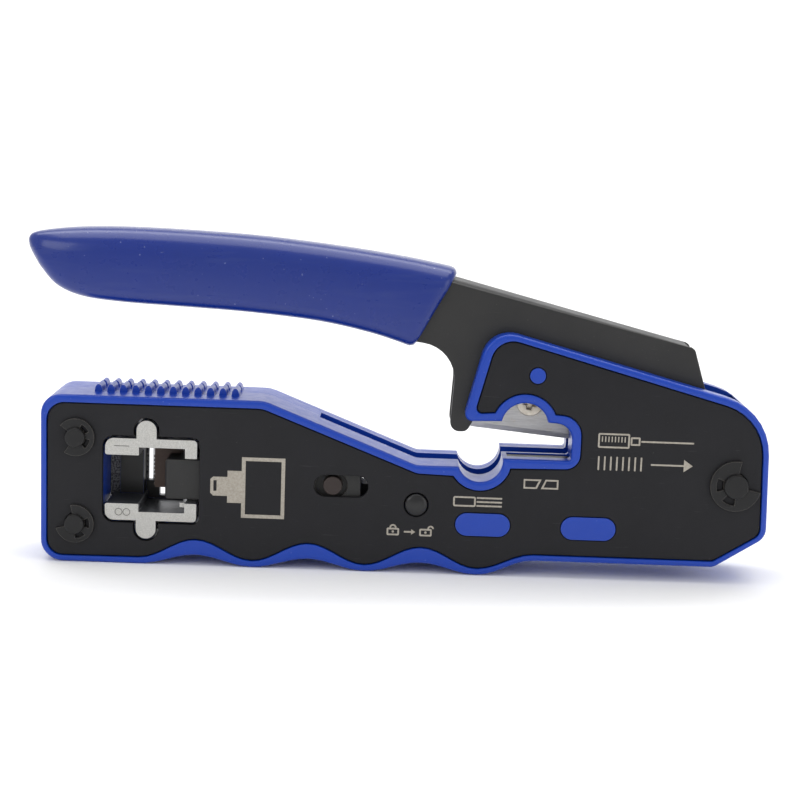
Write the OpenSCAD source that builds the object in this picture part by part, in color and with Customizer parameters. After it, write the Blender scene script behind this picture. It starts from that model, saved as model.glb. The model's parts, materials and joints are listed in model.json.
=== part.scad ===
// Pass-through modular plug crimper with a cable cutter and stripper.
// Millimetres. X runs along the tool, the grip end at -X and the main pivot at +X.
// Z is up, the tool stands on its wavy lower edge at z = 0. The front face looks toward -Y.

/* [Body] */
// Thickness of the two closed shells together
body_t = 22; // [21:0.5:24]
// Where the two shells meet, measured from the middle toward the rear
parting_y = 2; // [1:0.5:3]
// Thickness of a steel side plate
plate_t = 1.5; // [1:0.1:2]
// How far a side plate lies below the shell rim
plate_inset = 0.4; // [0.2:0.1:0.8]
// Gap between a side plate and the shell rim round it
plate_gap = 0.2; // [0.1:0.05:0.4]
// Distance between the finger hollows
wave_pitch = 28; // [26:0.5:30]
// Depth of a finger hollow in the shells
wave_depth = 2.6; // [1:0.1:4]

/* [Blade slot] */
// Width of the slot between the shells that the blade drops into
slot_w = 6.4; // [5:0.2:7]
// Width of the gap between the jaw cheeks
gap_w = 12.6; // [12.4:0.1:13]

/* [Handle] */
// Outside width of the steel channel
arm_w = 12; // [11:0.5:12]
// Thickness of the channel's sheet
arm_t = 2; // [1.5:0.1:2.5]
// Diameter of the main pivot pin
pivot_d = 6; // [5.5:0.1:6.6]

/* [Crimping] */
// Clear width of the plug nest, for a plug 11.7 wide
nest_w = 12.2; // [11.9:0.1:12.4]
// Travel of the ram when the handle closes
ram_travel = 2; // [1.5:0.1:2]
// Height of the ram
ram_h = 10; // [9.6:0.1:10.4]

/* [Fits] */
// Radial clearance of a pin in its hole
pin_play = 0.05; // [0.02:0.01:0.1]
// Diameter of the two end pins
end_pin_d = 4.9; // [4.6:0.1:5.4]

/* [Hidden] */

$fn = 48;

// Planes along Y
face_y = body_t / 2;
plate_out = face_y - plate_inset;
plate_in = plate_out - plate_t;

// Centres in the X-Z plane
pivot = [84, 25];
upper_end = [-78.8, 31.6];
lower_end = [-78.9, 9.8];
slide_at = [-15.3, 21.4];
lock_at = [5.5, 17.4];
drive_at = pivot + [-26, -11];
die_at = [-61.4, 21.3];
notch_at = [20.9, 29.3];
bump_at = [31.5, 38];

// Edge heights of the shells
top_z = 42.1;
step_z = 27.4;
floor_z = 29.8;
jaw_z = 38.8;
wall_x = 43.2;
toe_z = 4.1;

// Diameters of the blue bosses, the slide pin and the lock
boss_d = 3.8;
slide_pin_d = 4.7;
drive_pin_d = 8;
button_d = 5.6;
lock_d = 3.2;
neck_d = 2.4;

// The blade's faces along Y, the half angle of its edge and its screw
blade_y0 = 1.5;
blade_y1 = 2.3;
grind_angle = 17;
screw_at = [33.2, 42.3];

// Sides and front face of the die's web, and the wall behind the nest that the wires are cut against
web_x0 = -72.3;
web_x = -69.6;
web_y = 3;
anvil_x = -63.05;
anvil_y = 6;
anvil_z = 17.9;

// Planes along Y that bound the crimp punch and the trim blade
punch_y = [-1, 3];
trim_y = [7.2, 8.2];

// Rivets that hold the blade carrier
rivets_at = [[27, 51], [43, 49.5]];

// Window in the ram for the return spring, and the post of the rear shell's rib in it
window_x0 = -46;
window_x1 = -25;
spring_x0 = window_x0 + 2.1;
rib_x0 = -47.2;
rib_x1 = -21.5;
rib_y = 7.2;

// ---------------------------------------------------------------- outlines

// Points of an arc, centre c, from angle a0 to a1
function arc(c, r, a0, a1, steps = 12) =
    [for (i = [0:steps]) let (a = a0 + (a1 - a0) * i / steps) [c.x + r * cos(a), c.y + r * sin(a), 0]];

function unit(v) = v / norm(v);

// The points that round the corner q between p and n with radius q[2]
function fillet(p, q, n) =
    let (
        u = unit([p.x - q.x, p.y - q.y]),
        v = unit([n.x - q.x, n.y - q.y]),
        half = acos(max(-1, min(1, u * v))) / 2,
        reach = q[2] / tan(half),
        mid = unit(u + v) * q[2] / sin(half),
        centre = [q.x, q.y] + mid,
        from = [q.x, q.y] + u * reach - centre,
        to = [q.x, q.y] + v * reach - centre,
        turn = 180 - 2 * half,
        steps = max(2, ceil(turn / 11))
    )
    [for (i = [0:steps]) let (t = i / steps, k = sin(turn * (1 - t)), m = sin(turn * t))
        centre + (from * k + to * m) / sin(turn)];

// Closed outline from a list of [x, z, corner radius]
function rounded(path) =
    let (count = len(path))
    [for (i = [0:count - 1])
        let (q = path[i])
        each (q[2] > 0
            ? fillet(path[(i + count - 1) % count], q, path[(i + 1) % count])
            : [[q.x, q.y]])];

// Finger hollows along the lower edge: three hollows, then the rise to the toe
function wave(base, depth, rise) =
    let (first = -35 - wave_pitch, crest = first + 3 * wave_pitch)
    concat(
        [for (x = [first:wave_pitch / 14:crest])
            [x, base + depth / 2 * (1 - cos(360 * (x - first) / wave_pitch)), 0]],
        [for (i = [1:6]) [crest + i * wave_pitch / 12, base + rise / 2 * (1 - cos(30 * i)), 0]]
    );

// Outline of the shells, anticlockwise from the lower left corner
function shell_path() = rounded(concat(
    [[-87.5, 0, 5.5]],
    wave(0, wave_depth, toe_z),
    [[79.9, toe_z, 3], [92.5, 12.1, 4], [91.6, 43.95, 15], [22.1, 62.25, 7], [16.2, jaw_z, 1.8]],
    arc(bump_at, 5.8, 169, 11, 16),
    [[wall_x, jaw_z, 4], [wall_x, floor_z, 0.8], [26.4, floor_z, 0]],
    arc(notch_at, 5.6, -2, -160, 16),
    [[5.2, step_z, 4], [-32.6, top_z, 8], [-87.5, top_z, 5]]
));

// Outline of the recess that a side plate lies in
function recess_path() = rounded(concat(
    [[-86, 1.5, 4]],
    wave(1.6, 4.9, 4),
    [[79.6, 5.6, 2], [91, 12.7, 3], [90.1, 42.4, 13.2], [24, 60.3, 5.5], [18.9, 40.7, 1.5]],
    arc(bump_at, 8, 157, 23, 16),
    [[45.4, 40.7, 5], [45.4, 27.8, 3.6]],
    arc(notch_at, 7.7, -14, -147, 16),
    [[5.4, 25.4, 3], [-33, 40.2, 6], [-86, 40.2, 4.5]]
));

// ---------------------------------------------------------------- helpers

// Raises a drawing in the X-Z plane between two planes along Y
module slab(y0, y1) {
    translate([0, y1, 0])
        rotate([90, 0, 0])
            linear_extrude(y1 - y0) children();
}

// Round bar along Y at a place in the X-Z plane
module rod(at, r, y0, y1) {
    translate([at.x, y1, at.y])
        rotate([90, 0, 0])
            cylinder(h = y1 - y0, r = r);
}

// Block from two corners
module block(low, high) {
    translate(low) cube(high - low);
}

// Oblong of a length and a width about a centre
module oblong(at, length, width) {
    translate(at) {
        square([length - width, width], center = true);
        for (side = [-1, 1]) translate([side * (length - width) / 2, 0]) circle(d = width);
    }
}

// Oval slot over the slide pin
module pin_slot_2d() oblong([-13.2, slide_at.y], 13.4, 5.5);

// The two oval windows that show the front shell's bosses
module boss_windows_2d(extra) {
    for (at = [[22.1, 12.9], [48.3, 12.8]]) oblong(at, 13.5 + extra, 5.7 + extra);
    translate([34.1, 50.7]) circle(d = boss_d + extra);
}

// Window round the die, with a round tab above and below
module die_window_2d(extra) {
    half = 10.35 + extra;
    left = -71.6 - extra;
    right = -48.9 + extra;
    polygon(rounded([
        [left, die_at.y - half, 2.2 + extra], [right, die_at.y - half, 1 + extra],
        [right, die_at.y + half, 1 + extra], [left, die_at.y + half, 2.2 + extra]
    ]));
    for (side = [-1, 1])
        translate([die_at.x, die_at.y + side * 12.4]) circle(r = 2.5 + extra);
    translate(die_at) square([5 + 2 * extra, 24.8], center = true);
}

// ---------------------------------------------------------------- side plates and shells

module plate_holes_2d() {
    die_window_2d(0.6);
    pin_slot_2d();
    boss_windows_2d(0.3);
    translate(lock_at) circle(d = button_d + 0.4);
    for (at = [upper_end, lower_end]) translate(at) circle(d = end_pin_d + 2 * pin_play);
    translate(pivot) circle(d = pivot_d + 2 * pin_play);
}

module plate_2d() {
    difference() {
        offset(delta = -plate_gap) polygon(recess_path());
        plate_holes_2d();
    }
}

module front_plate() {
    color("#2f2f33") slab(-plate_out, -plate_in) plate_2d();
}

module rear_plate() {
    color("#2f2f33") slab(plate_in, plate_out) plate_2d();
}

// Space between the jaw cheeks and round the handle's pivot end
module handle_gap() {
    slab(-gap_w / 2, gap_w / 2) polygon([
        [8, 38.2], [45.4, 38.2], [45.4, 34], [50, 24], [51, 21], [51, 6.6], [79, 6.6],
        [87.6, 12.6], [90.6, 18], [90.6, 33], [84.5, 45.5], [84.5, 64], [8, 82]
    ]);
}

// Slot that the blade drops into, along the slope, the notch and the cutting channel
module blade_slot() {
    slab(parting_y - slot_w / 2, parting_y + slot_w / 2)
        polygon([[-19.3, 20.9], [wall_x + 2.4, 20.9], [wall_x + 2.4, 42], [-19.3, 42]]);
}

// Channels for the ram and the push bar
module mechanism_space() {
    ram_half = ram_h / 2 + 0.1;
    slab(-plate_in, plate_in) die_window_2d(0.8);
    difference() {
        block([-49, -plate_in, slide_at.y - ram_half], [-6.1, plate_in, slide_at.y + ram_half]);
        block([rib_x0, rib_y, slide_at.y - 8], [rib_x1, plate_in + 1, slide_at.y + 8]);
    }
    block([-24, -3.2, 12.2], [52, 3.2, 20.9]);
    rod(lock_at, button_d / 2 + 0.2, -face_y, -3);
    rod(lock_at, neck_d / 2 + 0.1, 3, 7);
    rod(lock_at, button_d / 2 + 0.2, 6.2, face_y);
}

module shell_pins() {
    for (at = [upper_end, lower_end]) rod(at, end_pin_d / 2 + pin_play, -face_y, face_y);
    rod(pivot, pivot_d / 2 + pin_play, -face_y, face_y);
}

// Row of arched grip ribs across the top of a shell
module rib_row(y0, y1, height) {
    pitch = 3.09;
    half = 0.95;
    for (i = [0:11])
        slab(y0, y1) polygon([for (a = [-12:12:192])
            [-74.3 + i * pitch + half * cos(a), top_z + height * sin(a)]]);
}

// One shell between two planes, before the parts that only one shell has
module shell_body(y0, y1) {
    difference() {
        slab(y0, y1) polygon(shell_path());
        handle_gap();
        blade_slot();
        mechanism_space();
        shell_pins();
    }
}

module front_shell() {
    color("#2a4cae") {
        difference() {
            shell_body(-face_y, parting_y);
            slab(-face_y - 1, -plate_in) polygon(recess_path());
            block([27.6, -7.3, floor_z - 2.5], [wall_x, -2.4, floor_z + 1]);
        }
        slab(-plate_out - 0.1, -plate_in + 0.1) boss_windows_2d(0);
        rib_row(-4.6, 1.4, 1.85);
    }
}

// Fine groove along the top of the rear shell, behind the blade slot
module seam_groove() {
    slab(7.6, 7.85) difference() {
        polygon([[-28, 22], [44, 22], [44, 35], [-28, 46]]);
        offset(delta = -0.35) polygon(shell_path());
    }
}

module rear_shell() {
    color("#2a4cae") {
        difference() {
            shell_body(parting_y, face_y);
            slab(plate_in, face_y + 1) polygon(recess_path());
            seam_groove();
        }
        slab(plate_in - 0.1, plate_out + 0.1) boss_windows_2d(0);
        rib_row(3.4, 7.4, 1.6);
        block([spring_x0 - 2, -6, slide_at.y - 3.6], [spring_x0, plate_in, slide_at.y + 3.6]);
    }
}

// ---------------------------------------------------------------- die

// One arm of the die, drawn above the nest; the lower arm is its mirror image
module die_arm_2d() {
    nest = nest_w / 2;
    polygon(rounded([
        [-71.6, nest, 0.6], [-63.2, nest, 0.2], [-63.2, nest + 2, 0], [-51.9, nest + 2, 0.2],
        [-51.9, 5.65, 0.2], [-48.9, 5.65, 0.2], [-48.9, 10.35, 1],
        [-71.6, 10.35, 2.2]
    ]));
    translate([die_at.x, 12.4]) circle(r = 2.5);
    translate([die_at.x - 2.5, 9]) square([5, 3.4]);
}

module die_block() {
    color("#c9c9c6") {
        slab(-plate_out, plate_out)
            for (side = [0, 1]) translate([0, die_at.y]) mirror([0, side]) die_arm_2d();
        block([web_x0, web_y, die_at.y - 7], [web_x, plate_in, die_at.y + 7]);
        block([web_x - 1, anvil_y, anvil_z], [anvil_x, trim_y[0] - 0.1, die_at.y + nest_w / 2 + 1]);
        block([-53.1, -plate_out + 0.7, die_at.y - 6.7], [-51.8, -plate_in, die_at.y - 5.6]);
    }
}

// Black block beside the wires, with a foot and a sill below them at the back of the nest
module wire_guide() {
    low = die_at.y - nest_w / 2 + 0.05;
    high = die_at.y + nest_w / 2 - 0.05;
    foot_y = anvil_y - 1;
    back_y = trim_y[0] - 0.1;
    color("#1b1b1b") {
        block([web_x, 1, low], [anvil_x - 0.6, anvil_y, high]);
        block([web_x, foot_y, low], [anvil_x + 2.9, back_y, anvil_z]);
        block([anvil_x - 0.1, foot_y, low - 2], [anvil_x + 2.9, back_y, low + 1]);
        block([anvil_x, foot_y, low - 2], [anvil_x + 9, back_y, low - 1.2]);
    }
}

module anvil_strip() {
    color("#141414") block([27.6, -7.3, floor_z - 2.5], [wall_x, -2.4, floor_z - 0.3]);
}

// ---------------------------------------------------------------- pins and clips

// Pin with a low head at the rear and a groove for its clip at the front
module grooved_pin(at, d, head_d) {
    difference() {
        union() {
            rod(at, d / 2, -plate_out - 1.9, plate_out);
            rod(at, head_d / 2, plate_out, plate_out + 1.9);
        }
        difference() {
            rod(at, d, -plate_out - 1, -plate_out - 0.1);
            rod(at, d / 2 - 0.6, -plate_out - 1.1, -plate_out);
        }
    }
}

// Sector of a disc between two angles
module sector(r, a0, a1) {
    polygon(concat([[0, 0]], [for (i = [0:8]) let (a = a0 + (a1 - a0) * i / 8) r * [cos(a), sin(a)]]));
}

// Retaining clip: a ring with an open mouth that bears in the pin's groove at its ends and its back
module e_clip(at, pin_d, outer_d, mouth_angle) {
    mouth = 46;
    slab(-plate_out - 0.95, -plate_out - 0.15)
        translate(at) rotate(mouth_angle) difference() {
            circle(d = outer_d);
            circle(r = pin_d / 2 - 0.55);
            sector(outer_d, -mouth, mouth);
            for (back = [144, 216]) sector(outer_d * 0.38, back - 20, back + 20);
        }
}

module upper_end_pin() color("#303033") grooved_pin(upper_end, end_pin_d, 8);

module lower_end_pin() color("#303033") grooved_pin(lower_end, end_pin_d, 8);

module pivot_pin() color("#303033") grooved_pin(pivot, pivot_d, 10);

module upper_end_clip() color("#26262a") e_clip(upper_end, end_pin_d, 9.4, 188);

module lower_end_clip() color("#26262a") e_clip(lower_end, end_pin_d, 9.5, 149);

module pivot_clip() color("#26262a") e_clip(pivot, pivot_d, 12.6, 33);

// ---------------------------------------------------------------- handle

// Height of the channel's straight upper edge
function arm_top(x) = 72.6 - 0.2515 * (x - 15);

// Side outline of the channel, leg and pivot lobe, without the part inside the grip
module flange_2d() {
    difference() {
        union() {
            translate(pivot) circle(r = 6.2);
            polygon(rounded([
                [4, 57.4, 0], [14.3, 56.2, 9], [13.1, 35.35, 2.3], [17.4, 35.35, 2], [19.4, 39.2, 2],
                [23, 47.2, 3], [47.5, 45.2, 3], [52.5, 33, 6], [54, 17.5, 3], [53.8, 10.2, 3.6],
                [61, 10, 3], [84, 18.9, 4], [86.5, 30.6, 3], [78.4, 38, 4],
                [76.1, 47.5, 6], [72.8, arm_top(72.8), 1.5], [15, arm_top(15), 0]
            ]));
        }
        translate(pivot) circle(d = pivot_d + 2 * pin_play);
        translate(drive_at) circle(d = 4 + 2 * pin_play);
        for (at = rivets_at) translate(at) circle(d = 3 + 2 * pin_play);
    }
}

// Side outline of the channel inside the grip
function core_path() = [
    [4, 57.4, 0], [15, arm_top(15), 0], [0, 74.9, 60], [-33, 78.3, 90], [-70, 79.3, 60], [-80, 78.6, 3],
    [-81, 71, 6], [-74, 66.6, 6], [-44, 64.7, 80], [-11, 61.2, 60]
];

// Upper edge of the channel, [x, z], from the grip end to the pivot end
top_edge = [[-78, 78.6], [-70, 79.1], [-33, 78.2], [0, 74.8], [15, arm_top(15)], [71.4, arm_top(71.4)]];

module handle_arm() {
    color("#2b2b2e") {
        for (side = [0, 1]) mirror([0, side, 0])
            slab(arm_w / 2 - arm_t, arm_w / 2) {
                flange_2d();
                polygon(rounded(core_path()));
            }
        slab(arm_t - arm_w / 2, arm_w / 2 - arm_t) polygon(concat(
            top_edge,
            [for (i = [len(top_edge) - 1:-1:0]) top_edge[i] - [0.2, arm_t]]
        ));
    }
}

module pivot_spacer() {
    half = arm_w / 2 - arm_t;
    color("#8c8c8c") difference() {
        rod(pivot, pivot_d / 2 + 1.6, -half, half);
        rod(pivot, pivot_d / 2 + pin_play, -half - 1, half + 1);
    }
}

// Steel block riveted between the channel's sides, with a tongue behind the blade
module blade_carrier() {
    half = arm_w / 2 - arm_t;
    color("#3a3a3e") difference() {
        union() {
            block([23.5, -half, 48], [46, half, 53]);
            block([20.5, blade_y1, 39], [44.5, half, 53]);
        }
        for (at = rivets_at) rod(at, 1.5 + pin_play, -half - 1, half + 1);
        rod(screw_at, 1.5, 0, half + 1);
    }
}

module carrier_rivets() {
    color("#55555a") for (at = rivets_at) rod(at, 1.5, -arm_w / 2, arm_w / 2);
}

// Razor blade, its lower edge ground from both sides
module cutter_blade() {
    color("#b9b9b7") difference() {
        slab(blade_y0, blade_y1) polygon([[18.6, 35.4], [44.3, 33], [45.3, 46], [19.7, 46.8]]);
        for (side = [0, 1])
            translate([0, (blade_y0 + blade_y1) / 2, 0]) mirror([0, side, 0])
                translate([18.6, 0, 35.4]) rotate([0, 5.34, 0]) rotate([-grind_angle, 0, 0])
                    translate([-4, 0, -1]) cube([36, 3, 5]);
        rod(screw_at, 2, blade_y0 - 1, blade_y1 + 1);
    }
}

module blade_screw() {
    color("#cfc6b4") difference() {
        union() {
            rod(screw_at, 3.4, blade_y0 - 2.4, blade_y0);
            rod(screw_at, 1.5 + 0.3, blade_y0, blade_y1);
            rod(screw_at, 1.45, blade_y1, arm_w / 2 - arm_t);
        }
        translate([screw_at.x, blade_y0 - 2.4, screw_at.y]) rotate([0, 10, 0]) {
            cube([3.2, 3, 1.1], center = true);
            cube([1.1, 3, 3.2], center = true);
        }
    }
}

module drive_pin() {
    half = arm_w / 2 - arm_t;
    color("#77777a") union() {
        rod(drive_at, 2, -arm_w / 2, arm_w / 2);
        rod(drive_at, drive_pin_d / 2, -half + 0.3, half - 0.3);
    }
}

// Stations of the grip: x, lower z, upper z, half width, upper radius, lower radius
grip_stations = [
    [-88.9, 72.6, 80.9, 4.6, 3.6, 3.2],
    [-82, 66.6, 82.4, 7.4, 6, 3.4],
    [-66, 64.4, 83, 8, 6.4, 3.4],
    [-36, 63, 82.1, 8, 6.4, 3.4],
    [-10, 59.8, 79.7, 8, 6.4, 3.4],
    [13, 54.9, 75.3, 8, 6.4, 3.4]
];

// One cross-section of the grip: four balls that a hull joins to the next
module grip_section(s) {
    for (side = [-1, 1]) {
        translate([s[0], side * (s[3] - s[4]), s[2] - s[4]]) sphere(r = s[4], $fn = 24);
        translate([s[0], side * (s[3] - s[5]), s[1] + s[5]]) sphere(r = s[5], $fn = 20);
    }
}

module grip_sleeve() {
    color("#223a86") difference() {
        for (i = [0:len(grip_stations) - 2])
            hull() {
                grip_section(grip_stations[i]);
                grip_section(grip_stations[i + 1]);
            }
        // The open end is cut square to the arm
        slab(-12, 12) polygon([[14.6, 76], [3.6, 55], [2, 40], [30, 40], [30, 80], [15.8, 80]]);
        slab(-arm_w / 2, arm_w / 2) polygon(concat(rounded(core_path()), [[4, 57.4]]));
        slab(-arm_w / 2, arm_w / 2) flange_2d();
    }
}

// ---------------------------------------------------------------- ram

module crimp_ram() {
    half = plate_in - 0.1;
    low = slide_at.y - ram_h / 2;
    high = slide_at.y + ram_h / 2;
    color("#47474a") difference() {
        block([-57, -half, low], [-8.4, half, high]);
        block([window_x0, -half - 1, slide_at.y - 3.9], [window_x1, half + 1, slide_at.y + 3.9]);
        block([rib_x0 - 0.1, rib_y - 0.1, low - 1], [rib_x1 + ram_travel + 0.1, half + 1, high + 1]);
        block([-22.5, -3.1, low - 1], [-8, 3.1, high + 1]);
        rod(slide_at, slide_pin_d / 2 + pin_play, -half - 1, half + 1);
        for (gap = [punch_y, trim_y])
            block([-58, gap[0] - 0.1, low - 1], [-54, gap[1] + 0.1, high + 1]);
        slab(-half - 1, -half + 1.2) oblong(slide_at - [0.4, 0], 8, 6.4);
    }
}

// Hooked punch with one tooth for each of the eight contacts
module crimp_punch() {
    contact_pitch = 1.02;
    low = slide_at.y - 3.9;
    high = slide_at.y + ram_h / 2;
    color("#4a3f3a") {
        slab(punch_y[0], punch_y[1]) polygon(rounded([
            [-60.6, low, 0.3], [-54, low, 0], [-54, high + 0.3, 0], [-53.4, high + 0.3, 0],
            [-53.4, high + 2.4, 0.2], [-60.6, high + 2.4, 0.4]
        ]));
        for (i = [0:7])
            translate([-61.1, punch_y[0] + 2, slide_at.y + (i - 3.5) * contact_pitch - 0.25])
                cube([1, 1.8, 0.5]);
    }
}

// Blade that trims the wires against the die's rear wall, ground on its rear face
module trim_blade() {
    edge_x = -62.2;
    high = slide_at.y + ram_h / 2;
    color("#e2e2e0") difference() {
        translate([0, 0, slide_at.y - 4])
            linear_extrude(8.6) polygon([
                [edge_x, trim_y[0]], [-54, trim_y[0]], [-54, trim_y[1]], [edge_x + 1.3, trim_y[1]]
            ]);
        slab(trim_y[0] - 1, trim_y[1] + 1)
            polygon([[edge_x - 1, high - 1.4], [edge_x + 1.8, high + 1.4], [edge_x - 1, high + 1.4]]);
    }
}

module slide_pin() {
    color("#5a4f4b") rod(slide_at, slide_pin_d / 2, -plate_out + 0.3, plate_out - 0.3);
}

// Bar that carries the thrust from the handle's drive pin to the ram
module push_bar() {
    face_angle = 49.9;
    reach = drive_pin_d / 2 + 0.07;
    contact = drive_at - reach * [cos(face_angle), sin(face_angle)];
    high = 20.6;
    low = 12.5;
    along = [sin(face_angle), -cos(face_angle)];
    foot = contact + along * (contact.y - low) / cos(face_angle);
    crest = contact - along * (high - contact.y) / cos(face_angle);
    color("#3c3c40") difference() {
        slab(-3, 3) polygon(rounded([
            [-22, 17, 3], [-16, low, 3], [foot.x, foot.y, 0], [crest.x, crest.y, 0],
            [-8.6, high, 1.5], [-9.6, 26, 2], [-22, 26, 3]
        ]));
        rod(slide_at, slide_pin_d / 2 + pin_play, -4, 4);
        for (shift = [0, ram_travel]) rod(lock_at + [shift, 0], lock_d / 2 + 0.1, -4, 4);
    }
}

// Compression spring between the shell's post and the ram
module return_spring() {
    turns = 8;
    wire = 0.45;
    coil_r = 2.9;
    sides = 8;
    per_turn = 16;
    x0 = spring_x0 + wire + 0.05;
    x1 = window_x1 - wire - 0.05;
    count = turns * per_turn;
    rings = [for (i = [0:count])
        let (
            a = 360 * i / per_turn,
            centre = [x0 + (x1 - x0) * i / count, coil_r * cos(a), slide_at.y + coil_r * sin(a)]
        )
        [for (k = [0:sides - 1])
            let (b = 360 * k / sides)
            centre + wire * [sin(b), cos(b) * cos(a), cos(b) * sin(a)]]];
    points = [for (ring = rings) each ring];
    walls = [for (i = [0:count - 1], k = [0:sides - 1])
        let (n = (k + 1) % sides)
        [i * sides + k, i * sides + n, (i + 1) * sides + n, (i + 1) * sides + k]];
    ends = [
        [for (k = [sides - 1:-1:0]) k],
        [for (k = [0:sides - 1]) count * sides + k]
    ];
    color("#b5b5b2") polyhedron(points, concat(walls, ends), convexity = 10);
}

// ---------------------------------------------------------------- lock

// Cross bolt: domed button, locking part, then a neck that passes the push bar
module lock_bolt() {
    color("#232327") translate([lock_at.x, 0, lock_at.y]) rotate([90, 0, 0])
        rotate_extrude() polygon(concat(
            [[0, -plate_out + 0.6], [neck_d / 2, -plate_out + 0.6], [neck_d / 2, 3.15],
             [lock_d / 2, 3.15], [lock_d / 2, 5.3], [button_d / 2, 5.3], [button_d / 2, plate_out]],
            [for (i = [1:6]) [button_d / 2 * cos(15 * i), plate_out + 0.9 * sin(15 * i)]]
        ));
}

module lock_cap() {
    color("#232327") difference() {
        rod(lock_at, button_d / 2, plate_out - 3.6, plate_out - 0.1);
        rod(lock_at, neck_d / 2, plate_out - 5, plate_out - 0.6);
    }
}

front_plate();
rear_plate();
front_shell();
rear_shell();
die_block();
wire_guide();
anvil_strip();
pivot_pin();
pivot_clip();
upper_end_pin();
upper_end_clip();
lower_end_pin();
lower_end_clip();
return_spring();
handle_arm();
blade_carrier();
cutter_blade();
blade_screw();
carrier_rivets();
pivot_spacer();
grip_sleeve();
drive_pin();
crimp_ram();
crimp_punch();
trim_blade();
slide_pin();
push_bar();
lock_bolt();
lock_cap();
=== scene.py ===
import json
import math

import bmesh
import bpy
from mathutils import Matrix, Vector


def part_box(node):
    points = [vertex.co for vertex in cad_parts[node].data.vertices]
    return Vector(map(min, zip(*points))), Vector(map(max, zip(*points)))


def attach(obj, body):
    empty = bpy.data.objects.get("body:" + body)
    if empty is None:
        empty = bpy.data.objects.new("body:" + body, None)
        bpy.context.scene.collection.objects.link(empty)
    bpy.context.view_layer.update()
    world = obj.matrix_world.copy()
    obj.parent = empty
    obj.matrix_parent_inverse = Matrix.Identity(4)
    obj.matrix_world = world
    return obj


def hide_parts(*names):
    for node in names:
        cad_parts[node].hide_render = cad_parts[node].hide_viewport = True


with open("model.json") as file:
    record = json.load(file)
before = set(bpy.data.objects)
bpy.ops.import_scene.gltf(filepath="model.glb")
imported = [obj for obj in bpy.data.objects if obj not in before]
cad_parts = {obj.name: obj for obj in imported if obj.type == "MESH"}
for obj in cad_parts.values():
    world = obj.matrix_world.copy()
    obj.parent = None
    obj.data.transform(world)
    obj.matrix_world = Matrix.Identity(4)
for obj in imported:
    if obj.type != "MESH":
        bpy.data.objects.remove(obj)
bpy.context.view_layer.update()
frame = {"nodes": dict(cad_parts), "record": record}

nodes = frame["nodes"]
record = frame["record"]
body_of_node = {n: b for b, names in record["behaviour"]["bodies"].items() for n in names}
MM = 0.001

# ------------------------------------------------------------------ places, read from the frame

face_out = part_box("front_plate")[0].y
rear_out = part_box("rear_plate")[1].y
rim_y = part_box("front_shell")[0].y
rear_rim_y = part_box("rear_shell")[1].y
parting_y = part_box("front_shell")[1].y
lock_low, lock_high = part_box("lock_bolt")
lock_centre = (lock_low + lock_high) / 2
arm_low, arm_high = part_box("handle_arm")
screw_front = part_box("blade_screw")[0].y
die_low, die_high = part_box("die_block")
ram_low, ram_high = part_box("crimp_ram")
slide_low, slide_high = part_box("slide_pin")

# ------------------------------------------------------------------ camera

AIM = Vector((0.6, -10.8, 43.6)) * MM
DISTANCE = 433 * MM
ELEVATION = math.radians(9.63)
ROLL = math.radians(2.0)

back = Vector((0, -math.cos(ELEVATION), math.sin(ELEVATION)))
level_right = Vector((1, 0, 0))
level_up = Vector((0, math.sin(ELEVATION), math.cos(ELEVATION)))
right = level_right * math.cos(ROLL) + level_up * math.sin(ROLL)
up = level_up * math.cos(ROLL) - level_right * math.sin(ROLL)

camera_data = bpy.data.cameras.new("camera")
camera_data.sensor_width = 36
camera_data.lens = 79.6
camera_data.clip_start = 0.01
camera = bpy.data.objects.new("camera", camera_data)
bpy.context.scene.collection.objects.link(camera)
facing = Matrix((right, up, back)).transposed().to_4x4()
camera.matrix_world = Matrix.Translation(AIM + back * DISTANCE) @ facing
bpy.context.scene.camera = camera

# ------------------------------------------------------------------ materials


def srgb(r, g, b):
    """Linear colour from 0 to 255 display values."""
    def linear(v):
        v /= 255
        return v / 12.92 if v <= 0.04045 else ((v + 0.055) / 1.055) ** 2.4
    return (linear(r), linear(g), linear(b), 1.0)


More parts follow.
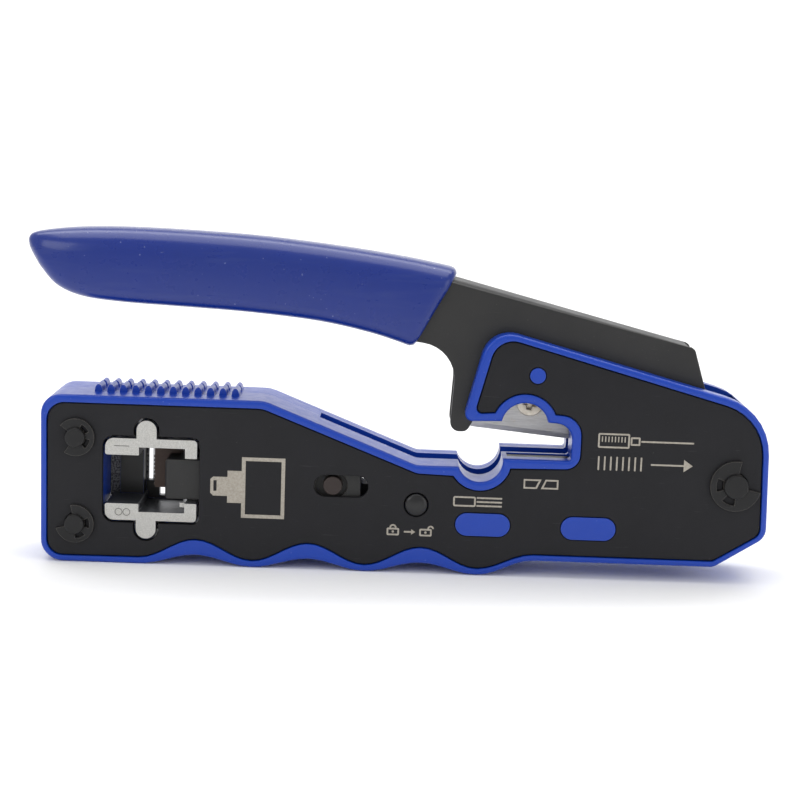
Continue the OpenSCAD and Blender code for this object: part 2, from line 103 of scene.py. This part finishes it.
class Shader:
    """A node material built step by step round one Principled shader."""

    def __init__(self, name, metallic=0.0, **sockets):
        self.material = bpy.data.materials.new(name)
        self.material.use_nodes = True
        self.tree = self.material.node_tree
        self.bsdf = self.tree.nodes["Principled BSDF"]
        self.bsdf.inputs["Metallic"].default_value = metallic
        for socket, value in sockets.items():
            self.bsdf.inputs[socket.replace("_", " ")].default_value = value
        self.coords = self.node("ShaderNodeTexCoord").outputs["Object"]
        self.normal = None

    def node(self, kind, **values):
        made = self.tree.nodes.new(kind)
        for key, value in values.items():
            setattr(made, key, value)
        return made

    def link(self, output, socket):
        self.tree.links.new(output, socket)

    def noise(self, per_mm, detail=3.0, roughness=0.55, stretch=(1, 1, 1), seed=0.0, turn=0.0):
        """Noise with about per_mm cells in a millimetre, stretched along axes turned about Y."""
        mapping = self.node("ShaderNodeMapping")
        mapping.inputs["Rotation"].default_value = (0, math.radians(turn), 0)
        mapping.inputs["Scale"].default_value = stretch
        mapping.inputs["Location"].default_value = (seed, seed * 0.7, seed * 0.3)
        self.link(self.coords, mapping.inputs["Vector"])
        made = self.node("ShaderNodeTexNoise")
        made.inputs["Scale"].default_value = per_mm / MM
        made.inputs["Detail"].default_value = detail
        made.inputs["Roughness"].default_value = roughness
        self.link(mapping.outputs["Vector"], made.inputs["Vector"])
        return made.outputs["Fac"]

    def span(self, value, low, high, to_low=0.0, to_high=1.0):
        """value mapped from low..high to to_low..to_high, clamped."""
        made = self.node("ShaderNodeMapRange")
        made.inputs["From Min"].default_value = low
        made.inputs["From Max"].default_value = high
        made.inputs["To Min"].default_value = to_low
        made.inputs["To Max"].default_value = to_high
        self.link(value, made.inputs["Value"])
        return made.outputs["Result"]

    def mix(self, fac, a, b):
        """Colour a where fac is 0 and b where it is 1; each is a colour or a socket."""
        made = self.node("ShaderNodeMix", data_type="RGBA")
        self.link(fac, made.inputs["Factor"])
        for value, socket in ((a, made.inputs["A"]), (b, made.inputs["B"])):
            if isinstance(value, tuple):
                socket.default_value = value
            else:
                self.link(value, socket)
        return made.outputs["Result"]

    def math(self, operation, a, b=0.0):
        made = self.node("ShaderNodeMath", operation=operation)
        for value, socket in ((a, made.inputs[0]), (b, made.inputs[1])):
            if isinstance(value, (int, float)):
                socket.default_value = value
            else:
                self.link(value, socket)
        return made.outputs[0]

    def bump(self, height, distance_mm, strength=1.0):
        made = self.node("ShaderNodeBump")
        made.inputs["Distance"].default_value = distance_mm * MM
        made.inputs["Strength"].default_value = strength
        self.link(height, made.inputs["Height"])
        if self.normal is not None:
            self.link(self.normal, made.inputs["Normal"])
        self.normal = made.outputs["Normal"]

    def edges(self, radius_mm):
        """1 along edges and 0 on open faces."""
        bevel = self.node("ShaderNodeBevel", samples=6)
        bevel.inputs["Radius"].default_value = radius_mm * MM
        geometry = self.node("ShaderNodeNewGeometry")
        dot = self.node("ShaderNodeVectorMath", operation="DOT_PRODUCT")
        self.link(bevel.outputs["Normal"], dot.inputs[0])
        self.link(geometry.outputs["Normal"], dot.inputs[1])
        return self.span(dot.outputs["Value"], 0.99, 0.86)

    def facing_y(self):
        """1 on faces square to the tool's side faces, 0 on the others."""
        geometry = self.node("ShaderNodeTexCoord")
        split = self.node("ShaderNodeSeparateXYZ")
        self.link(geometry.outputs["Normal"], split.inputs[0])
        return self.span(self.math("ABSOLUTE", split.outputs["Y"]), 0.6, 0.9)

    def done(self, colour, roughness):
        self.link(colour, self.bsdf.inputs["Base Color"])
        self.link(roughness, self.bsdf.inputs["Roughness"])
        if self.normal is not None:
            self.link(self.normal, self.bsdf.inputs["Normal"])
        return self.material


def black_oxide(name, base, light, roughness, wear, specular=0.3, ring=None):
    """Blackened steel: fine grain, cloudy patches, faint scratches and paler edges."""
    s = Shader(name, metallic=0.1, IOR=1.5, Specular_IOR_Level=specular)
    clouds = s.span(s.noise(0.09, 4), 0.3, 0.7)
    grain = s.noise(5, 2)
    colour = s.mix(s.math("MULTIPLY", clouds, 0.55), base, light)
    specks = s.span(s.noise(1.7, 2, seed=3), 0.715, 0.76)
    colour = s.mix(s.math("MULTIPLY", specks, 0.3), colour, srgb(96, 95, 92))
    scratches = s.span(s.noise(0.12, 2, stretch=(1, 1, 16), turn=23, seed=7), 0.72, 0.75)
    crossing = s.span(s.noise(0.15, 2, stretch=(1, 1, 13), turn=-58, seed=11), 0.73, 0.76)
    marks = s.math("MAXIMUM", scratches, crossing)
    colour = s.mix(s.math("MULTIPLY", marks, 0.07), colour, srgb(110, 110, 110))
    colour = s.mix(s.math("MULTIPLY", s.edges(0.3), wear), colour, srgb(126, 122, 116))
    s.bump(grain, 0.012, 0.6)
    s.bump(clouds, 0.02, 0.3)
    if ring:
        centre, radius = ring
        offset = s.node("ShaderNodeVectorMath", operation="SUBTRACT")
        offset.inputs[1].default_value = centre
        s.link(s.coords, offset.inputs[0])
        flat = s.node("ShaderNodeVectorMath", operation="MULTIPLY")
        flat.inputs[1].default_value = (1, 0, 1)
        s.link(offset.outputs[0], flat.inputs[0])
        length = s.node("ShaderNodeVectorMath", operation="LENGTH")
        s.link(flat.outputs[0], length.inputs[0])
        away = s.math("ABSOLUTE", s.math("SUBTRACT", length.outputs["Value"], radius))
        s.bump(s.span(away, 0.0, 0.35 * MM, 1, 0), 0.03, 0.5)
    cloudy = s.span(clouds, 0, 1, roughness - 0.04, roughness + 0.07)
    return s.done(colour, s.math("ADD", cloudy, s.math("MULTIPLY", grain, 0.04)))


def moulded(name, base, deep, roughness, grain_mm, depth_mm, coat, specular=0.3):
    """Injection-moulded plastic: fine spark texture, slight tone changes, rubbed edges."""
    s = Shader(name, IOR=1.5, Specular_IOR_Level=specular, Coat_Weight=coat, Coat_Roughness=0.2)
    tone = s.span(s.noise(0.05, 3), 0.3, 0.7)
    grain = s.noise(1 / grain_mm, 2)
    colour = s.mix(s.math("MULTIPLY", tone, 0.35), base, deep)
    specks = s.span(s.noise(1.3, 2, seed=5), 0.73, 0.77)
    colour = s.mix(s.math("MULTIPLY", specks, 0.25), colour, srgb(150, 165, 215))
    colour = s.mix(s.math("MULTIPLY", s.edges(0.3), 0.2), colour, srgb(84, 112, 205))
    s.bump(grain, depth_mm, 0.7)
    rough = s.span(s.noise(0.4, 3, seed=2), 0.3, 0.7, roughness - 0.04, roughness + 0.06)
    return s.done(colour, rough)


def dipped_vinyl():
    """Glossy dipped grip: deep blue, soft ripples, dust and a few rubs."""
    s = Shader("dipped_vinyl", IOR=1.5, Specular_IOR_Level=0.3, Coat_Weight=0.4, Coat_Roughness=0.16)
    tone = s.span(s.noise(0.04, 3), 0.3, 0.7)
    colour = s.mix(s.math("MULTIPLY", tone, 0.5), srgb(9, 39, 124), srgb(19, 43, 118))
    dust = s.span(s.noise(1.1, 1, seed=9), 0.77, 0.8)
    colour = s.mix(s.math("MULTIPLY", dust, 0.35), colour, srgb(170, 180, 215))
    rubs = s.span(s.noise(0.05, 3, stretch=(1, 1, 9), seed=4), 0.56, 0.72)
    colour = s.mix(s.math("MULTIPLY", rubs, 0.16), colour, srgb(62, 76, 128))
    s.bump(s.noise(0.16, 2), 0.09, 0.6)
    s.bump(s.noise(3.5, 2, seed=6), 0.004, 0.6)
    gloss = s.span(s.noise(0.25, 3, seed=8), 0.3, 0.7, 0.25, 0.33)
    return s.done(colour, s.math("ADD", gloss, s.math("MULTIPLY", rubs, 0.12)))


# Distance from the middle at which the die's outer faces give way to its sunk ones
DIE_FACE = 9.0 * MM
DIE_SUNK = 8.0 * MM


def cast_zinc():
    """Die casting: pale blasted outer faces, darker sunk faces and smoother walls between them, the walls
    painted dark as shade.
    """
    s = Shader("cast_zinc", metallic=0.5)
    face = s.facing_y()
    blast = s.noise(5.5, 3)
    pale = s.mix(s.span(blast, 0.35, 0.65), srgb(172, 171, 167), srgb(204, 203, 199))
    stains = s.span(s.noise(0.35, 4, seed=2), 0.5, 0.75)
    pale = s.mix(s.math("MULTIPLY", stains, 0.3), pale, srgb(178, 176, 164))
    # Painted shade: the walls, the faces not square to Y, get a dark colour as if they stood in shadow
    walls = s.mix(s.span(s.noise(0.3, 3), 0.3, 0.7), srgb(66, 68, 74), srgb(92, 94, 100))
    colour = s.mix(face, walls, pale)
    colour = s.mix(s.math("MULTIPLY", s.edges(0.18), 0.5), colour, srgb(236, 236, 232))
    split = s.node("ShaderNodeSeparateXYZ")
    s.link(s.coords, split.inputs[0])
    sunk = s.span(s.math("ABSOLUTE", split.outputs["Y"]), DIE_FACE, DIE_SUNK)
    ribbed = s.mix(s.span(s.noise(2.6, 2), 0.42, 0.58), srgb(62, 62, 64), srgb(128, 128, 128))
    colour = s.mix(s.math("MULTIPLY", sunk, face), colour, ribbed)
    blast_share = s.math("ADD", s.math("MULTIPLY", face, 0.9), 0.1)
    s.bump(s.math("MULTIPLY", blast, blast_share), 0.035, 0.8)
    return s.done(colour, s.span(face, 0, 1, 0.34, 0.55))


def brushed(name, dark, light, roughness, along, tint=None):
    """Ground steel with fine lines; tint adds small stains of that colour."""
    s = Shader(name, metallic=0.4)
    lines = s.noise(0.25, 3, stretch=along)
    colour = s.mix(s.span(lines, 0.35, 0.65), dark, light)
    patches = s.span(s.noise(0.2, 3, seed=3), 0.4, 0.7)
    colour = s.mix(s.math("MULTIPLY", patches, 0.3), colour, dark)
    if tint:
        stains = s.span(s.noise(0.55, 4, seed=13), 0.62, 0.72)
        colour = s.mix(s.math("MULTIPLY", stains, 0.5), colour, tint)
    s.bump(lines, 0.006, 0.6)
    return s.done(colour, s.span(lines, 0.3, 0.7, roughness - 0.06, roughness + 0.08))


def ink():
    """Laser-marked beige, a little uneven."""
    s = Shader("beige_marking", IOR=1.45)
    patches = s.noise(2.2, 3)
    colour = s.mix(s.span(patches, 0.3, 0.7), srgb(152, 145, 134), srgb(174, 168, 157))
    s.bump(patches, 0.01, 0.5)
    return s.done(colour, s.span(patches, 0.3, 0.7, 0.5, 0.62))


# Faint ring in the plate's finish round the lock button: centre and radius
lock_ring = ((lock_centre.x, 0, lock_centre.z), 8.4 * MM)
plate_black = black_oxide("plate_black", srgb(28, 28, 31), srgb(37, 37, 40), 0.5, 0.3, 0.24, lock_ring)
arm_black = black_oxide("arm_black", srgb(27, 27, 27), srgb(44, 43, 42), 0.4, 0.25, 0.5)
pin_black = black_oxide("pin_black", srgb(23, 23, 24), srgb(33, 33, 34), 0.36, 0.6, 0.32)
ram_grey = black_oxide("ram_grey", srgb(44, 44, 44), srgb(54, 54, 54), 0.46, 0.3)
punch_brown = black_oxide("punch_brown", srgb(62, 48, 42), srgb(86, 70, 62), 0.42, 0.25)
slide_brown = black_oxide("slide_brown", srgb(42, 33, 31), srgb(56, 46, 43), 0.4, 0.6, 0.4)
shell_blue = moulded("shell_blue", srgb(16, 62, 168), srgb(14, 55, 156), 0.34, 0.22, 0.02, 0.35, 0.2)
black_plastic = moulded("black_plastic", srgb(14, 14, 15), srgb(20, 20, 21), 0.38, 0.3, 0.01, 0.1)
lock_black = black_oxide("lock_black", srgb(15, 15, 17), srgb(23, 23, 25), 0.3, 0.2, 0.55)
grip_blue = dipped_vinyl()
zinc = cast_zinc()
rust = srgb(190, 166, 134)
blade_steel = brushed("blade_steel", srgb(192, 191, 189), srgb(220, 219, 216), 0.42, (1, 1, 9), rust)
trim_steel = brushed("trim_steel", srgb(206, 206, 208), srgb(240, 240, 242), 0.18, (14, 1, 1))
nickel = brushed("nickel", srgb(212, 202, 184), srgb(238, 230, 214), 0.36, (3, 1, 3))
bright_steel = brushed("bright_steel", srgb(128, 128, 130), srgb(176, 176, 178), 0.3, (9, 1, 1))
beige = ink()

# ------------------------------------------------------------------ pieces made from CAD nodes

# Two places closer than this are the same
NEAR = 1e-5
# Faces that meet at less than FLAT are joined into one, and edges over SHARP can be rounded
FLAT = math.radians(0.4)
SHARP = math.radians(35)
# Radius along a shell's outer edge, in mm
RIM_ROUND = 0.9
# A wall that reaches further than this along Y is one of a shell's outer walls
OUTER_WALL = 2.5 * MM
# Centre and reach of each boss that shows through a side plate, in mm
BOSSES = ((22.1, 12.9, 7.5), (48.3, 12.8, 7.5), (34.1, 50.7, 2.6))
# Where the arm's bare upper edge begins, the height that it stays above, and its least length
BARE_ARM_X = 14 * MM
BARE_ARM_Z = 55 * MM
LONG_EDGE = 20 * MM


def finish_piece(piece, body, material, stands_for=()):
    piece.data.materials.clear()
    piece.data.materials.append(material)
    bpy.context.scene.collection.objects.link(piece)
    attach(piece, body)
    if stands_for:
        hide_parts(*stands_for)
    return piece


def shade(bm, degrees=32):
    """Smooth shading, broken at edges sharper than an angle."""
    bm.normal_update()
    for face in bm.faces:
        face.smooth = True
    for edge in bm.edges:
        edge.smooth = len(edge.link_faces) == 2 and edge.calc_face_angle() < math.radians(degrees)


def refined(node, name, material, rounds):
    """A copy of a CAD node's mesh with its edges rounded, which stands for the node.
    rounds lists (radius in mm, segments, test), and test says which sharp convex edges it is for."""
    bm = bmesh.new()
    bm.from_mesh(nodes[node].data)
    bmesh.ops.remove_doubles(bm, verts=bm.verts, dist=1e-7)
    bmesh.ops.dissolve_limit(bm, angle_limit=FLAT, verts=bm.verts, edges=bm.edges)
    for radius, segments, test in rounds:
        bm.normal_update()
        chosen = [
            e for e in bm.edges
            if len(e.link_faces) == 2 and e.is_convex and e.calc_face_angle() > SHARP and test(e)
        ]
        bmesh.ops.bevel(
            bm, geom=chosen, offset=radius * MM, offset_type="OFFSET", segments=segments,
            profile=0.5, affect="EDGES", clamp_overlap=False, loop_slide=True,
        )
    bmesh.ops.remove_doubles(bm, verts=bm.verts, dist=1e-7)
    bmesh.ops.triangulate(bm, faces=[f for f in bm.faces if len(f.verts) > 4])
    shade(bm)
    mesh = bpy.data.meshes.new(name)
    bm.to_mesh(mesh)
    bm.free()
    piece = bpy.data.objects.new(name, mesh)
    piece.modifiers.new("even_shading", "WEIGHTED_NORMAL").keep_sharp = True
    return finish_piece(piece, body_of_node[node], material, (node,))


def middle_of(e):
    return (e.verts[0].co + e.verts[1].co) / 2


def on_plane(y):
    """Test for edges that lie in a plane across Y."""
    return lambda e: all(abs(v.co.y - y) < NEAR for v in e.verts)


def side_reach(e):
    """How far along Y the side wall at an edge reaches."""
    walls = [f for f in e.link_faces if abs(f.normal.y) < 0.5]
    return max((max(v.co.y for v in f.verts) - min(v.co.y for v in f.verts) for f in walls), default=0)


def on_boss(e):
    """Whether an edge belongs to one of the bosses that show through the side plates."""
    middle = middle_of(e)
    return any(math.hypot(middle.x - x * MM, middle.z - z * MM) < reach * MM for x, z, reach in BOSSES)


def rim_edge(y, outer):
    """Test for the outer or inner edge of a shell's rim."""
    return lambda e: on_plane(y)(e) and (side_reach(e) > OUTER_WALL and not on_boss(e)) == outer


for node, y in (("front_shell", rim_y), ("rear_shell", rear_rim_y)):
    refined(node, node + "_skin", shell_blue, [
        (RIM_ROUND, 4, rim_edge(y, True)),
        (0.2, 2, rim_edge(y, False)),
        (0.14, 2, on_plane(parting_y)),
    ])

for node, y in (("front_plate", face_out), ("rear_plate", rear_out)):
    refined(node, node + "_skin", plate_black, [(0.3, 3, on_plane(y))])

refined("die_block", "die_casting", zinc, [
    (0.14, 2, on_plane(die_low.y)),
    (0.14, 2, on_plane(die_high.y)),
])


def arm_top(e):
    """Long upper edges of the arm's channel, clear of the grip."""
    middle = middle_of(e)
    bare = middle.x > BARE_ARM_X and middle.z > BARE_ARM_Z
    outside = abs(abs(middle.y) - arm_high.y) < NEAR
    return bare and outside and e.calc_length() > LONG_EDGE


refined("handle_arm", "handle_arm_skin", arm_black, [
    (2.8, 7, arm_top),
    (0.35, 3, lambda e: on_plane(arm_low.y)(e) or on_plane(arm_high.y)(e)),
])

for node in ("pivot_pin", "upper_end_pin", "lower_end_pin"):
    low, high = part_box(node)
    refined(node, node + "_skin", pin_black, [(0.35, 3, on_plane(low.y)), (0.4, 3, on_plane(high.y))])

for node in ("pivot_clip", "upper_end_clip", "lower_end_clip"):
    refined(node, node + "_skin", pin_black, [(0.1, 2, on_plane(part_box(node)[0].y))])


def ram_nose(e):
    """Upper and lower edge of the ram's end in the nest."""
    at_end = all(abs(v.co.x - ram_low.x) < NEAR for v in e.verts)
    at_side = all(min(abs(v.co.z - ram_low.z), abs(v.co.z - ram_high.z)) < NEAR for v in e.verts)
    return at_end and at_side


refined("crimp_ram", "crimp_ram_skin", ram_grey, [
    (0.8, 4, ram_nose),
    (0.25, 2, on_plane(ram_low.y)),
    (0.25, 2, on_plane(ram_high.y)),
])
refined("blade_screw", "blade_screw_skin", nickel, [(0.35, 3, on_plane(screw_front))])
refined("lock_bolt", "lock_bolt_skin", lock_black, [])
refined("slide_pin", "slide_pin_skin", slide_brown, [
    (0.3, 3, on_plane(slide_low.y)),
    (0.3, 3, on_plane(slide_high.y)),
])

kept = {
    "wire_guide": black_plastic, "anvil_strip": black_plastic, "lock_cap": lock_black,
    "return_spring": bright_steel, "blade_carrier": arm_black, "cutter_blade": blade_steel,
    "carrier_rivets": bright_steel, "pivot_spacer": bright_steel, "drive_pin": bright_steel,
    "crimp_punch": punch_brown, "trim_blade": trim_steel, "push_bar": ram_grey,
}
for node, material in kept.items():
    for slot in nodes[node].material_slots:
        slot.material = material

# ------------------------------------------------------------------ grip sleeve

# Upper and lower point of each section as (x, z), its half width, its upper and its lower corner radius
GRIP = [
    ((-92.45, 79.3), (-92.45, 78.2), 0.6, 0.5, 0.5),
    ((-91.8, 80.3), (-92.0, 76.9), 2.0, 1.6, 1.6),
    ((-90.2, 81.0), (-90.9, 75.0), 3.6, 2.9, 2.6),
    ((-87.0, 81.6), (-88.6, 71.9), 5.4, 4.3, 3.2),
    ((-82.1, 82.2), (-84.6, 68.1), 6.8, 5.5, 3.4),
    ((-76.0, 82.6), (-78.2, 65.7), 7.6, 6.2, 3.4),
    ((-66.0, 82.8), (-68.0, 64.6), 7.9, 6.6, 3.4),
    ((-51.0, 82.5), (-53.0, 63.95), 7.95, 6.8, 3.4),
    ((-33.0, 81.6), (-36.5, 63.15), 7.95, 6.8, 3.4),
    ((-14.0, 79.75), (-20.0, 61.6), 7.95, 6.6, 3.4),
    ((1.4, 77.7), (-7.0, 59.1), 7.95, 6.4, 3.3),
    ((11.9, 75.8), (2.4, 56.3), 7.95, 6.1, 3.2),
]
# The rolled lip at the open end: forward shift, inset and depth of its rings
LIP = [(1.0, 0.2), (1.55, 0.75), (1.6, 1.25), (1.3, 1.62), (-2.5, 1.75)]


def arc(x, z, r, start, sweep, steps):
    """Points along an arc with both of its ends, from angles in degrees."""
    angles = [math.radians(start + sweep * i / steps) for i in range(steps + 1)]
    return [(x + r * math.cos(a), z + r * math.sin(a)) for a in angles]


def section(half_width, height, r_top, r_bottom, steps=8):
    """Rounded section as (across, along) pairs, its height from 0 to height."""
    corners = ((1, 0, -90, r_bottom), (1, 1, 0, r_top), (-1, 1, 90, r_top), (-1, 0, 180, r_bottom))
    points = []
    for side_y, side_z, start, radius in corners:
        r = min(radius, half_width, height / 2)
        points += arc(side_y * (half_width - r), height - r if side_z else r, r, start, 90, steps)
    return points


def between(a, b, c, d, t):
    """Point of a smooth curve through b and c."""
    return 0.5 * (2 * b + (c - a) * t + (2 * a - 5 * b + 4 * c - d) * t**2 + (3 * b - a - 3 * c + d) * t**3)


def grip_rings():
    flat = [(*s[0], *s[1], *s[2:]) for s in GRIP]
    rows = []
    for i in range(len(flat) - 1):
        a, b, c, d = flat[max(i - 1, 0)], flat[i], flat[i + 1], flat[min(i + 2, len(flat) - 1)]
        for k in range(6):
            rows.append([between(a[n], b[n], c[n], d[n], k / 6) for n in range(7)])
    rows.append(list(flat[-1]))
    end = rows[-1]
    for forward, inset in LIP:
        rows.append([
            end[0] + forward, end[1] - 0.2 * forward - inset, end[2] + forward, end[3] + inset,
            end[4] - inset, end[5] - inset * 0.5, end[6] - inset * 0.5,
        ])
    return rows


def grip_mesh():
    bm = bmesh.new()
    rings = []
    for xt, zt, xb, zb, half, r_top, r_bottom in grip_rings():
        low, high = Vector((xb, 0, zb)), Vector((xt, 0, zt))
        rise = high - low
        ring = [
            bm.verts.new((low + rise * (v / rise.length) + Vector((0, y, 0))) * MM)
            for y, v in section(half, rise.length, r_top, r_bottom)
        ]
        rings.append(ring)
    for one, two in zip(rings, rings[1:]):
        for i in range(len(one)):
            j = (i + 1) % len(one)
            bm.faces.new((one[i], one[j], two[j], two[i]))
    bm.faces.new(list(reversed(rings[0])))
    bm.faces.new(rings[-1])
    bmesh.ops.recalc_face_normals(bm, faces=bm.faces)
    bmesh.ops.triangulate(bm, faces=[f for f in bm.faces if len(f.verts) > 4])
    shade(bm, 50)
    mesh = bpy.data.meshes.new("grip_skin")
    bm.to_mesh(mesh)
    bm.free()
    return mesh


finish_piece(bpy.data.objects.new("grip_skin", grip_mesh()), "handle", grip_blue, ("grip_sleeve",))

# ------------------------------------------------------------------ markings on the side plate

# Half thickness of the print and of the die's numbers, and the width of a drawn line, in mm
INK = 0.015
ENGRAVING = 0.008
STROKE = 0.42


def rounded(x0, z0, x1, z1, r, steps=5):
    """Outline of a rectangle with rounded corners."""
    corners = ((x1 - r, z0 + r), (x1 - r, z1 - r), (x0 + r, z1 - r), (x0 + r, z0 + r))
    points = []
    for i, (x, z) in enumerate(corners):
        points += arc(x, z, r, 90 * (i - 1), 90, steps)
    return points


def disc(x, z, r, steps=28):
    return arc(x, z, r, 0, 360, steps)[:-1]


def arch(x, z, r_in, r_out, steps=14):
    """Half ring, open downward."""
    return arc(x, z, r_out, 0, 180, steps) + arc(x, z, r_in, 0, 180, steps)[::-1]


def marking(name, loops, body="body", y=None, material=None, thick=INK):
    """Flat raised print from closed outlines; an outline inside another is a hole."""
    curve = bpy.data.curves.new(name, "CURVE")
    curve.dimensions = "2D"
    curve.fill_mode = "BOTH"
    curve.extrude = thick * MM
    for loop in loops:
        spline = curve.splines.new("POLY")
        spline.points.add(len(loop) - 1)
        for point, (x, z) in zip(spline.points, loop):
            point.co = (x * MM, z * MM, 0, 1)
        spline.use_cyclic_u = True
    shape = bpy.data.objects.new(name + "_outline", curve)
    bpy.context.scene.collection.objects.link(shape)
    bpy.context.view_layer.update()
    mesh = bpy.data.meshes.new_from_object(shape.evaluated_get(bpy.context.evaluated_depsgraph_get()))
    bpy.data.objects.remove(shape)
    # Its back stays just under the surface that it lies on
    depth = (face_out if y is None else y) - thick * MM * 0.9
    mesh.transform(Matrix.Translation((0, depth, 0)) @ Matrix.Rotation(math.radians(90), 4, "X"))
    mesh.name = name
    return finish_piece(bpy.data.objects.new(name, mesh), body, material or beige)


# Front view of a plug: frame, shoulder and latch
plug_left, plug_right, plug_low, plug_high = -37.8, -27.1, 12.6, 27.9
marking("mark_plug", [
    [(plug_left, plug_low), (plug_right, plug_low), (plug_right, plug_high), (plug_left, plug_high),
     (plug_left, 24.4), (-41.3, 24.4), (-41.3, 22.8), (-44.8, 22.8), (-45.5, 22.2), (-45.5, 18.7),
     (-44.8, 18.0), (-41.3, 18.0), (-41.3, 16.3), (plug_left, 16.3)],
    [(plug_left + 0.95, plug_low + 0.9), (plug_right - 0.9, plug_low + 0.9),
     (plug_right - 0.9, plug_high - 0.9), (plug_left + 0.95, plug_high - 0.9)],
    rounded(-44.75, 19.2, -43.95, 21.9, 0.15),
])


def outline(x0, z0, x1, z1, r):
    """Two outlines of a rounded rectangle drawn with one stroke."""
    inner = rounded(x0 + STROKE, z0 + STROKE, x1 - STROKE, z1 - STROKE, max(r - STROKE, 0.05))
    return [rounded(x0, z0, x1, z1, r), inner]


def bar(x0, x1, z):
    return rounded(x0, z - STROKE / 2, x1, z + STROKE / 2, 0.15)


def arrow(x0, x1, z, head=1.0):
    """Arrow to the right."""
    t = STROKE / 2
    return [(x0, z - t), (x1 - head, z - t), (x1 - head, z - head * 0.7), (x1, z),
            (x1 - head, z + head * 0.7), (x1 - head, z + t), (x0, z + t)]


# A closed padlock, an arrow and an open padlock below the lock button
marking("mark_lock", [
    *outline(-1.6, 9.5, 1.5, 11.4, 0.35), disc(-0.05, 10.45, 0.3, 14),
    arrow(2.7, 5.5, 10.5),
    *outline(6.5, 9.5, 9.6, 11.4, 0.35), disc(8.05, 10.45, 0.3, 14),
])
marking("mark_lock_shackles", [arch(-0.05, 11.42, 0.5, 0.9), arch(9.3, 11.42, 0.4, 0.8)])

# A cable with its jacket stripped back
marking("mark_strip", [
    *outline(14.6, 17.4, 20.2, 20.0, 0.5),
    *[bar(20.4, 26.7, z) for z in (17.7, 18.7, 19.7)],
])

# A cable cut in two
marking("mark_cut", [
    [(31.8, 22.5), (35.1, 22.5), (36.2, 24.9), (31.8, 24.9)],
    [(32.2, 22.9), (34.8, 22.9), (35.55, 24.5), (32.2, 24.5)],
    [(36.1, 22.5), (40.4, 22.5), (40.4, 24.9), (37.2, 24.9)],
    [(36.75, 22.9), (40.0, 22.9), (40.0, 24.5), (37.45, 24.5)],
])

# Two lines of signs: a plug on its cable above its contacts and an arrow through them
marking("mark_cable", [
    *outline(49.6, 33.4, 57.4, 37.1, 0.4),
    *[rounded(50.5 + 0.8 * i, 34.9, 50.78 + 0.8 * i, 36.3, 0.1) for i in range(8)],
    *outline(57.6, 34.2, 60.0, 36.3, 0.3),
    bar(60.2, 73.2, 35.25),
])
marking("mark_contacts", [rounded(49.8 + 1.5 * i, 27.8, 50.2 + 1.5 * i, 31.3, 0.15) for i in range(8)])
marking("mark_arrow", [arrow(62.9, 73.2, 29.55, 2.2)])

# ------------------------------------------------------------------ numbers engraved on the die

number_grey = brushed("engraved_grey", srgb(96, 95, 92), srgb(122, 121, 118), 0.5, (1, 1, 1))


def number(name, loops):
    marking(name, loops, y=die_low.y, material=number_grey, thick=ENGRAVING)


def ring_outline(x, z, r, width):
    return [disc(x, z, r + width / 2), disc(x, z, r - width / 2)]


for name, x in (("number_eight", -68.15), ("number_eight_ring", -66.2)):
    number(name, ring_outline(x, 13.05, 0.86, 0.2))
number("number_one", [rounded(-69.4, 29.6, -65.6, 29.8, 0.09)])

# ------------------------------------------------------------------ floor, backdrop and light


# The floor's front edge, where it starts to rise, the radius of its bend, its height and half its width
FLOOR_FRONT = -2.0
FLOOR_BACK = 1.0
BEND = 0.6
BACKDROP = 2.5
HALF_FLOOR = 3.0


def sweep():
    """Pale floor that curves up into a backdrop."""
    bend = arc(FLOOR_BACK, BEND, BEND, -90, 90, 9)
    profile = [(FLOOR_FRONT, 0.0), *bend, (FLOOR_BACK + BEND, BACKDROP)]
    bm = bmesh.new()
    rows = [[bm.verts.new((x, y, z)) for x in (-HALF_FLOOR, HALF_FLOOR)] for y, z in profile]
    for one, two in zip(rows, rows[1:]):
        bm.faces.new((one[0], one[1], two[1], two[0]))
    mesh = bpy.data.meshes.new("sweep")
    bm.to_mesh(mesh)
    bm.free()
    for polygon in mesh.polygons:
        polygon.use_smooth = True
    floor = bpy.data.objects.new("sweep", mesh)
    bpy.context.scene.collection.objects.link(floor)
    s = Shader("pale_floor", Specular_IOR_Level=0.1)
    speck = s.noise(0.4, 2)
    tint = s.mix(speck, (0.93, 0.93, 0.935, 1), (0.96, 0.96, 0.96, 1))
    mesh.materials.append(s.done(tint, s.span(speck, 0, 1, 0.8, 0.9)))


sweep()

world = bpy.data.worlds.new("studio")
world.use_nodes = True
world.node_tree.nodes["Background"].inputs["Color"].default_value = (1, 1, 1, 1)
world.node_tree.nodes["Background"].inputs["Strength"].default_value = 0.62
bpy.context.scene.world = world
bpy.context.scene.view_settings.view_transform = "Standard"


def softbox(name, place, aim, size, power):
    data = bpy.data.lights.new(name, "AREA")
    data.shape = "RECTANGLE"
    data.size, data.size_y = size
    data.energy = power
    lamp = bpy.data.objects.new(name, data)
    bpy.context.scene.collection.objects.link(lamp)
    lamp.location = place
    lamp.rotation_mode = "QUATERNION"
    lamp.rotation_quaternion = (Vector(place) - Vector(aim)).to_track_quat("Z", "Y")


CENTRE = (0.0, 0.0, 0.04)
softbox("top_box", (0.0, 0.05, 0.75), CENTRE, (0.9, 0.5), 3.0)
softbox("back_box", (0.0, 0.7, 1.4), (0.0, 1.3, 0.1), (2.4, 0.6), 14.0)
softbox("left_box", (-0.65, -0.55, 0.45), CENTRE, (0.5, 0.5), 1.6)
softbox("right_box", (0.7, -0.45, 0.3), CENTRE, (0.4, 0.5), 0.9)
